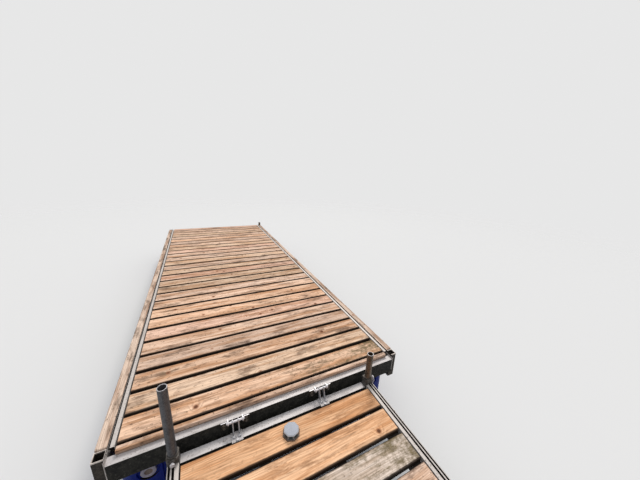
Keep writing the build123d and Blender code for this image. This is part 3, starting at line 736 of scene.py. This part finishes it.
drive_screws("platform_screws", "platform", platform_boards + ripped_board, "platform_stringers")
drive_screws("walkway_screws", "walkway", new_boards + grey_board + old_boards, "walkway_stringers")

# %% [markdown]
# The bumper boards down the platform's sides are heavier timber, rough from the saw and rounded by wear.
# They are made as the deck boards are, from a block with rounded edges, but all their edges are eased
# and the curve is larger. Their grain runs along the platform, so the log's axis is turned.

# %% Bumper boards
bumper_round = 7 * mm
bumper_off_centre = 60 * mm
bumper_pith = -90 * mm
mildew_below = 0.5
mildew_above = 0.35
edge_darkening_reach = 0.9


def bumper_board(node, seed):
    """A rounded timber in a bumper's box, with its grain running along the platform."""
    low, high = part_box(node)
    size = high - low
    chance = random.Random(seed)
    shape = bmesh.new()
    in_log, board_tint, mildewed, in_gap, across_board = board_layers(shape)
    block(shape, size)
    ease(shape, list(shape.edges), bumper_round, 4)
    from_pith = Vector((chance.uniform(0, log_reach), chance.uniform(-bumper_off_centre, bumper_off_centre),
                        bumper_pith))
    for point in shape.verts:
        point[in_log] = Vector((point.co.y, point.co.x, point.co.z)) + from_pith
        point[board_tint] = (1.0, 1.0, 1.0, 1.0)
        point[mildewed] = mildew_below if point.co.z < 0 else mildew_above
        point[in_gap] = 0.0
        # The sides and edges take a little of the gap colour: painted shade, with some dirt.
        point[across_board] = edge_darkening_reach * point.co.x / (size.x / 2)
        point.co += (high + low) / 2
    made = piece(node + "_board", shape, "platform", [bumper_softwood])
    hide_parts(node)
    print(made.name, [round(value, 3) for value in size])


bumper_board("bumper_left", 3)
bumper_board("bumper_right", 6)

# %% [markdown]
# No real edge is perfectly sharp. An extrusion's corners come from a die with a small radius, a casting's
# are rounder, a moulding's rounder still, and it is that thin curve that catches the light and tells the
# eye what a thing is made of. Each CAD shape is already right, so a finished copy of it is enough: its
# loose triangles are merged, flat areas become single faces again, and only its sharp edges are bevelled.
# A part may need a second finish on some of its faces, so a copy can be given extra materials, each with
# a test that says which faces take it.

# %% Round the edges of a part
sharp_angle = 32
flat_angle = 0.5
bodies_of = {name: body for body, names in frame["record"]["behaviour"]["bodies"].items() for name in names}


def eased_copy(node, material, radius, segments=2, zones=(), cuts=()):
    """A copy of a node with its sharp edges rounded, standing for it; zones give faces other finishes.

    Each cut, an axis and a place along it, divides the faces so that a zone can end there.
    """
    shape = merged_copy(node)
    bmesh.ops.dissolve_limit(shape, angle_limit=math.radians(flat_angle), verts=shape.verts,
                             edges=shape.edges)
    for axis, place in cuts:
        normal = Vector([float(axis == other) for other in range(3)])
        bmesh.ops.bisect_plane(shape, geom=list(shape.verts) + list(shape.edges) + list(shape.faces),
                               plane_co=normal * place, plane_no=normal)
    sharp = [edge for edge in shape.edges
             if len(edge.link_faces) == 2 and edge.calc_face_angle(0.0) > math.radians(sharp_angle)]
    ease(shape, sharp, radius, segments, clamp=True)
    low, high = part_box(node)
    shape.normal_update()
    for face in shape.faces:
        for index, (_, belongs) in enumerate(zones, start=1):
            if belongs(face, low, high):
                face.material_index = index
    materials = [material] + [extra for extra, _ in zones]
    made = piece(node + "_finished", shape, bodies_of[node], materials, smooth_under=sharp_angle)
    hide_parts(node)
    print(made.name, len(made.data.polygons), "faces")


print("nodes with a body", len(bodies_of))

# %% [markdown]
# The frame's beams and rails come first. The beams keep their pale metal only on top, and their upright
# and downward faces are painted dark, as shade. A rail keeps it everywhere but down in its bolt tracks,
# which are painted dark for grime and shade. The dark also reaches a little way out of each slot, so a
# rail's top is cut along both sides of every slot. The slots are found from the corners of the rail's top.

# %% Beams and rails
beam_edge = 0.8 * mm
rail_edge = 0.6 * mm
dark_strip_reach = 1.6 * mm
track_depth = 12 * mm
top_skin = 1.2 * mm
level_within = 0.1 * mm
wall_inside = 5 * mm
wall_outside = 1.5 * mm


def shaded_faces(face, low, high):
    """Faces that stand upright or face down, which are painted as shade."""
    return face.normal.z < 0.5


def slots_of(node):
    """Where each slot in a rail's top begins and ends across the rail, with the dark strip beside it."""
    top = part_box(node)[1].z
    corners = sorted({round(point.co.x, 5) for point in nodes[node].data.vertices
                      if point.co.z > top - level_within})
    return [(start - dark_strip_reach, end + dark_strip_reach) for start, end in zip(corners[1:-1:2], corners[2:-1:2])]


def finish_rail(node):
    """A rail painted dark in its slots and a little way beside them, for grime and shade."""
    slots = slots_of(node)

    def in_track(face, low, high):
        """Faces inside a slot, and the edge of the top beside it."""
        middle = face.calc_center_median()
        deep = high.z - track_depth < middle.z < high.z - top_skin
        inside = deep and low.x + wall_inside < middle.x < high.x - wall_outside
        beside = middle.z > high.z - top_skin and any(start < middle.x < end for start, end in slots)
        return inside or beside

    eased_copy(node, rail_finish, rail_edge, zones=[(track_grime_and_shade, in_track)],
               cuts=[(0, place) for slot in slots for place in slot])


for name in ("platform_beam_near", "platform_beam_far", "walkway_beam_outer", "walkway_beam_shore"):
    eased_copy(name, beam_finish, beam_edge, zones=[(web_painted_shade, shaded_faces)])
for name in ("platform_rail_left", "walkway_rail_left", "platform_rail_right", "walkway_rail_right"):
    finish_rail(name)

# %% [markdown]
# The square tubes under the deck are seen only from below and through the gaps. Their CAD shape is right
# as it is, so they keep it and only take the darker aluminium, painted for grime and shade, with dust and
# painted shade on top.

# %% Tubes under the deck
for name in ("platform_bearers", "platform_stringers", "walkway_bearers", "walkway_stringers"):
    nodes[name].data.materials.clear()
    nodes[name].data.materials.append(under_frame)
print("tubes take", under_frame.name)

# %% [markdown]
# Next come the steel parts. A pipe's or pocket's cut top is worn brighter than its sides, by the hammer
# that drove it and by years of knocks, so the faces at the very top take a paler finish. Below the rim, a
# pocket's sides are painted dark as shade, and so is each hinge lug below its pin, under the beam.

# %% Pipes, holders, pockets and hinges
pipe_edge = 0.7 * mm
pocket_edge = 1.0 * mm
cast_edge = 1.2 * mm
plate_edge = 0.5 * mm
pin_edge = 0.8 * mm
rim_height = 7 * mm
eye_radius = 12 * mm
shade_below = 1.3 * eye_radius
cut_height = 2.5 * mm
plate_height = 6 * mm


def height_of(face):
    """The height of a face's middle."""
    return face.calc_center_median().z


def cut_top(face, low, high):
    """Faces at the very top of a part."""
    return face.normal.z > 0.6 and height_of(face) > high.z - cut_height


def worn_rim(face, low, high):
    """All faces down to the height of a pocket's worn rim."""
    return height_of(face) > high.z - rim_height


def below_pin(face, low, high):
    """The part of a hinge lug below its pin, under the beam, painted dark as shade."""
    return height_of(face) < high.z - shade_below


def on_plate(face, low, high):
    """A hinge plate, without the ears that stand on it."""
    return height_of(face) < low.z + plate_height


for name in ("pipe_outer_left", "pipe_shore_left", "pipe_shore_right"):
    eased_copy(name, pipe_zinc, pipe_edge, zones=[(lug_zinc, cut_top)])
eased_copy("pipe_outer_right", rusty_zinc, pipe_edge, zones=[(lug_zinc, cut_top)])
for name in ("pocket_near_left", "pocket_near_right", "pocket_far_left", "pocket_far_right"):
    eased_copy(name, steel_painted_shade, pocket_edge, zones=[(pale_rim, worn_rim)],
               cuts=[(2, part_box(name)[1].z - rim_height)])
eased_copy("corner_pipe", rusty_zinc, pipe_edge)
eased_copy("pipe_holders", cast_iron, cast_edge)
for name in ("hinge_lugs", "shore_lugs"):
    eased_copy(name, bright_zinc, plate_edge, zones=[(steel_painted_shade, below_pin)])
eased_copy("hinge_ears", lug_zinc, plate_edge, zones=[(beam_finish, on_plate)])
eased_copy("hinge_pins", bright_zinc, pin_edge)
eased_copy("set_bolts", bright_zinc, plate_edge)

# %% [markdown]
# The floats are mouldings, so their edges are rounded most of all, and their upward faces are painted
# dark, for dirt and shade. The deck light is a moulding too, in five colours: a grey panel in a pale lid,
# a body darkened for grime and painted shade, with pale ribs, a foot painted brown for stain and shade,
# and dark windows, which are the only upright flat faces set in from the sloping body.

# %% Floats and the deck light
float_edge = 5.0 * mm
light_edge = 1.4 * mm
foot_top = 5.2 * mm
body_top = 25 * mm
window_nearest = 30 * mm
window_furthest = 36 * mm
panel_skin = 1 * mm
side_turn = 360 / 8
rib_turn = 6


def light_panel(face, low, high):
    """The flat middle of the lid."""
    return face.normal.z > 0.95 and height_of(face) > high.z - panel_skin


def light_foot(face, low, high):
    """Faces of the foot plate."""
    return height_of(face) < low.z + foot_top


def light_body(face, low, high):
    """Faces between the foot plate and the lid."""
    return low.z + foot_top <= height_of(face) < low.z + body_top


def light_rib(face, low, high):
    """The rounded corners between the body's eight sides."""
    turned = math.degrees(math.atan2(face.normal.y, face.normal.x)) % side_turn
    off_side = abs(turned - side_turn / 2) > rib_turn
    return light_body(face, low, high) and abs(face.normal.z) < 0.5 and off_side


def light_window(face, low, high):
    """The upright faces at the back of the windows."""
    from_axis = face.calc_center_median() - (low + high) / 2
    outward = abs(from_axis.x * face.normal.x + from_axis.y * face.normal.y)
    set_in = window_nearest < outward < window_furthest
    return light_body(face, low, high) and abs(face.normal.z) < 0.06 and set_in


def faces_up(face, low, high):
    """Faces facing up, painted dark for dirt and shade."""
    return face.normal.z > 0.6


for name in ("float_left_1", "float_left_2", "float_right_1", "float_right_2"):
    eased_copy(name, float_plastic, float_edge, segments=3, zones=[(float_top_dirt_and_shade, faces_up)])
eased_copy("deck_light", lid_plastic, light_edge,
           zones=[(foot_stain_and_shade, light_foot), (housing_grime_and_shade, light_body), (lid_plastic, light_rib),
                  (lens_plastic, light_window), (panel_plastic, light_panel)])

# %% [markdown]
# Each float is closed by a screwed plug: a pale ring around a stained middle. A plug is round, so half of
# its outline is drawn once and spun about its axis, and a copy of it is moved into each float's recess.

# %% Plugs
plug_turns = 40
core_radius = 20 * mm
plug_face = 3.6 * mm
plug_merge_within = 0.02 * mm
plug_outline = ((0.0, -4.0), (15.0, -4.0), (17.0, -3.2), (19.0, 1.6), (21.5, 3.2), (32.0, 3.6), (34.8, 2.6),
                (36.0, 0.6), (36.0, -7.0), (0.0, -7.0))


def spin_plug(shape):
    """Spin the plug's outline, radius and height in millimetres, about an axis along Y; it faces -Y."""
    points = [shape.verts.new((radius * mm, -height * mm, 0.0)) for radius, height in plug_outline]
    edges = [shape.edges.new(pair) for pair in zip(points, points[1:])]
    bmesh.ops.spin(shape, geom=points + edges, cent=(0, 0, 0), axis=(0, 1, 0), angle=math.tau,
                   steps=plug_turns, use_merge=True)
    bmesh.ops.remove_doubles(shape, verts=shape.verts, dist=plug_merge_within)
    bmesh.ops.recalc_face_normals(shape, faces=shape.faces)
    for face in shape.faces:
        middle = face.calc_center_median()
        face.material_index = 1 if math.hypot(middle.x, middle.z) < core_radius else 0


def seat_plug(shape, points, low, high):
    """Move a plug's points to the middle of the box of a plain one."""
    middle = ((low.x + high.x) / 2, low.y + plug_face, (low.z + high.z) / 2)
    bmesh.ops.translate(shape, vec=middle, verts=points)


plug_boxes = loose_parts("float_plugs")
shape = bmesh.new()
spin_plug(shape)
one_plug = list(shape.faces)
for low, high in plug_boxes[1:]:
    seat_plug(shape, points_among(bmesh.ops.duplicate(shape, geom=one_plug)["geom"]), low, high)
seat_plug(shape, list({point for face in one_plug for point in face.verts}), *plug_boxes[0])
plugs = piece("float_plug_caps", shape, "platform", [plug_plastic, plug_core], smooth_under=50)
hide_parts("float_plugs")

# %% [markdown]
# Hexagonal bolts hold the hinge lugs to the beams, the hinge plates to the walkway and the bumper boards
# to the platform. A bolt head is a six-sided disc, raised, with its outer rim bevelled where a real head
# is turned to a soft chamfer, and it sits on a round washer.

# %% Bolt heads
head_across = 13 * mm
bolt_height = 5 * mm
washer_radius = 9.5 * mm
washer_height = 1.4 * mm
washer_sides = 18
head_chamfer = 0.8 * mm


def bolt_head(shape, place, direction):
    """Add a bolt head on its washer at a place, facing along a direction."""
    fresh = []
    discs = ((washer_radius, washer_sides, 0.0, washer_height),
             (head_across / math.sqrt(3), 6, washer_height, bolt_height))
    for radius, sides, start, thick in discs:
        ring = bmesh.ops.create_circle(shape, cap_ends=True, radius=radius, segments=sides)["verts"]
        raised = points_among(bmesh.ops.extrude_face_region(shape, geom=[ring[0].link_faces[0]])["geom"])
        bmesh.ops.translate(shape, vec=(0, 0, thick), verts=raised)
        bmesh.ops.translate(shape, vec=(0, 0, start), verts=list(ring) + raised)
        rim = [edge for edge in {edge for point in raised for edge in point.link_edges}
               if edge.verts[0] in raised and edge.verts[1] in raised]
        eased = ease(shape, rim, min(head_chamfer, thick / 3), 2)
        fresh += list(ring) + eased["verts"] + raised
    turn = Vector((0, 0, 1)).rotation_difference(Vector(direction)).to_matrix().to_4x4()
    fresh = list({point for point in fresh if point.is_valid})
    bmesh.ops.transform(shape, matrix=Matrix.Translation(place) @ turn, verts=fresh)


def fit_bolts(name, body, places, material):
    """Make one piece of the bolt heads at all the given places, each with the direction it faces."""
    shape = bmesh.new()
    for place, direction in places:
        bolt_head(shape, Vector(place), direction)
    bmesh.ops.recalc_face_normals(shape, faces=shape.faces)
    made = piece(name, shape, body, [material], smooth_under=30)
    print(name, len(places), "bolts", len(made.data.polygons), "faces")


print("bolt head", round(head_across / mm), "mm across")

# %% [markdown]
# The bolts' places follow the parts that they hold. Each lug has a foot beside it with two bolts. Each
# hinge plate has a pair of bolts on the flange and one at its shore end, which shows pale in the dark gap
# before the first plank. Each bumper board has a row of them down its outer face.

# %% Bolts
foot_width = 34 * mm
foot_front = 6 * mm
foot_bolt_heights = (12 * mm, 34 * mm)
plate_top = 5 * mm
plate_bolts = ((-15 * mm, 26 * mm), (15 * mm, 26 * mm), (0, 7 * mm))
bumper_bolt_heights = (45 * mm, 95 * mm)
bumper_bolt_count = 8


def lug_bolt_places(node):
    """Two bolts in each lug's foot; the feet lie on the outer side of each pair of lugs."""
    places = []
    for index, (low, high) in enumerate(loose_parts(node)):
        x = low.x + foot_width / 2 if index % 2 == 0 else high.x - foot_width / 2
        places += [((x, high.y - foot_front, low.z + up), (0, -1, 0)) for up in foot_bolt_heights]
    return places


def plate_bolt_places(node):
    """Two bolts side by side through each hinge's plate, and one at its shore end."""
    return [(((low.x + high.x) / 2 + x, low.y + y, low.z + plate_top), (0, 0, 1))
            for low, high in loose_parts(node) for x, y in plate_bolts]


def bumper_bolt_places(node, side):
    """A row of bolts along a bumper board's outer face, low and high in turn."""
    low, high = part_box(node)
    x = high.x if side > 0 else low.x
    pitch = (high.y - low.y) / bumper_bolt_count
    return [((x, low.y + (index + 0.5) * pitch, low.z + bumper_bolt_heights[index % 2]), (side, 0, 0))
            for index in range(bumper_bolt_count)]


fit_bolts("hinge_lug_bolts", "platform", lug_bolt_places("hinge_lugs"), screw_zinc)
fit_bolts("shore_lug_bolts", "walkway", lug_bolt_places("shore_lugs"), screw_zinc)
fit_bolts("hinge_plate_bolts", "walkway", plate_bolt_places("hinge_ears"), lug_zinc)
fit_bolts("bumper_bolts", "platform",
          bumper_bolt_places("bumper_left", -1) + bumper_bolt_places("bumper_right", 1), screw_zinc)

# %% [markdown]
# The jetty stands alone on a pale studio floor. Most of the light comes softly from all around, and one
# broad, soft lamp high beyond the platform's end gives the light a direction, so that tops are lighter
# than the faces towards the camera. The floor is a disc large enough to hold the shadow. For the camera
# alone it fades out towards its rim, into a background of the same pale tone.

# %% Floor
floor_reach = 14.0
fade_from = 5.0
pale_tone = "#dcdee1"
bounce_tone = "#7b7c7d"


def in_sight(material):
    """One for rays from the camera and for mirrored or clear rays, and nothing for scattered light."""
    ray = add(material, "ShaderNodeLightPath")
    mirrored = add(material, "ShaderNodeMath", {"operation": "MAXIMUM"},
                   {0: ray.outputs["Is Camera Ray"], 1: ray.outputs["Is Glossy Ray"]})
    every = add(material, "ShaderNodeMath", {"operation": "MAXIMUM"},
                {0: mirrored.outputs[0], 1: ray.outputs["Is Transmission Ray"]})
    return ray, every.outputs[0]


def pale_floor():
    """A pale floor at the height of the jetty's feet, that fades out around its rim and throws back less."""
    shape = bmesh.new()
    bmesh.ops.create_circle(shape, cap_ends=True, radius=floor_reach, segments=96)
    mesh = bpy.data.meshes.new("studio_floor")
    shape.to_mesh(mesh)
    shape.free()
    material, shader = empty_material("pale_floor", 0.9)
    ray, seen = in_sight(material)
    tone = add(material, "ShaderNodeMix", {"data_type": "RGBA"},
               {0: seen, 6: colour(bounce_tone), 7: colour(pale_tone)})
    join(material, tone.outputs[2], shader, "Base Color")
    place = add(material, "ShaderNodeTexCoord").outputs["Object"]
    reach = add(material, "ShaderNodeVectorMath", {"operation": "LENGTH"}, {0: place})
    faded = add(material, "ShaderNodeMapRange", {"interpolation_type": "SMOOTHSTEP"},
                {"Value": reach.outputs["Value"], "From Min": fade_from, "From Max": floor_reach})
    gone = add(material, "ShaderNodeMath", {"operation": "MULTIPLY"},
               {0: faded.outputs[0], 1: ray.outputs["Is Camera Ray"]})
    clear = add(material, "ShaderNodeBsdfTransparent")
    either = add(material, "ShaderNodeMixShader", {},
                 {0: gone.outputs[0], 1: shader.outputs[0], 2: clear.outputs[0]})
    join(material, either.outputs[0], material.node_tree.nodes["Material Output"], "Surface")
    mesh.materials.append(material)
    floor = bpy.data.objects.new("studio_floor", mesh)
    bpy.context.scene.collection.objects.link(floor)


pale_floor()
print("floor", 2 * floor_reach, "m across")

# %% [markdown]
# The studio's dome of light is brightest overhead and dim at the horizon, so that upright faces stay
# darker than tops. The camera, and any reflection in metal or gloss, sees a plain pale tone instead. The
# lamp is a broad sun with soft shadows.

# %% Light all around, and the lamp
zenith_level = 0.95
horizon_level = 0.16
seen_level = 0.8
lamp_energy = 1.7
lamp_spread = 18
lamp_from = Vector((2.2, 5.0, 6.0))
lamp_colour = "#fff8ee"

sky = bpy.data.worlds.new("studio_sky")
bpy.context.scene.world = sky
sky.use_nodes = True
direction = add(sky, "ShaderNodeTexCoord").outputs["Generated"]
upward = add(sky, "ShaderNodeSeparateXYZ", {}, {"Vector": direction})
overhead = add(sky, "ShaderNodeMapRange", {"interpolation_type": "SMOOTHSTEP"},
               {"Value": upward.outputs["Z"], "To Min": horizon_level, "To Max": zenith_level})
level = add(sky, "ShaderNodeMix", {"data_type": "FLOAT"},
            {0: in_sight(sky)[1], 2: overhead.outputs[0], 3: seen_level})
background = sky.node_tree.nodes["Background"]
background.inputs["Color"].default_value = (1.0, 1.0, 1.0, 1.0)
join(sky, level.outputs[0], background, "Strength")

lamp_data = bpy.data.lights.new("low_sun", "SUN")
lamp_data.energy = lamp_energy
lamp_data.angle = math.radians(lamp_spread)
lamp_data.color = colour(lamp_colour)[:3]
lamp = bpy.data.objects.new("low_sun", lamp_data)
lamp.matrix_world = (-lamp_from).to_track_quat("-Z", "Y").to_matrix().to_4x4()
bpy.context.scene.collection.objects.link(lamp)
bpy.context.scene.view_settings.view_transform = "Standard"
print("sky", horizon_level, "to", zenith_level, "lamp", lamp_energy)
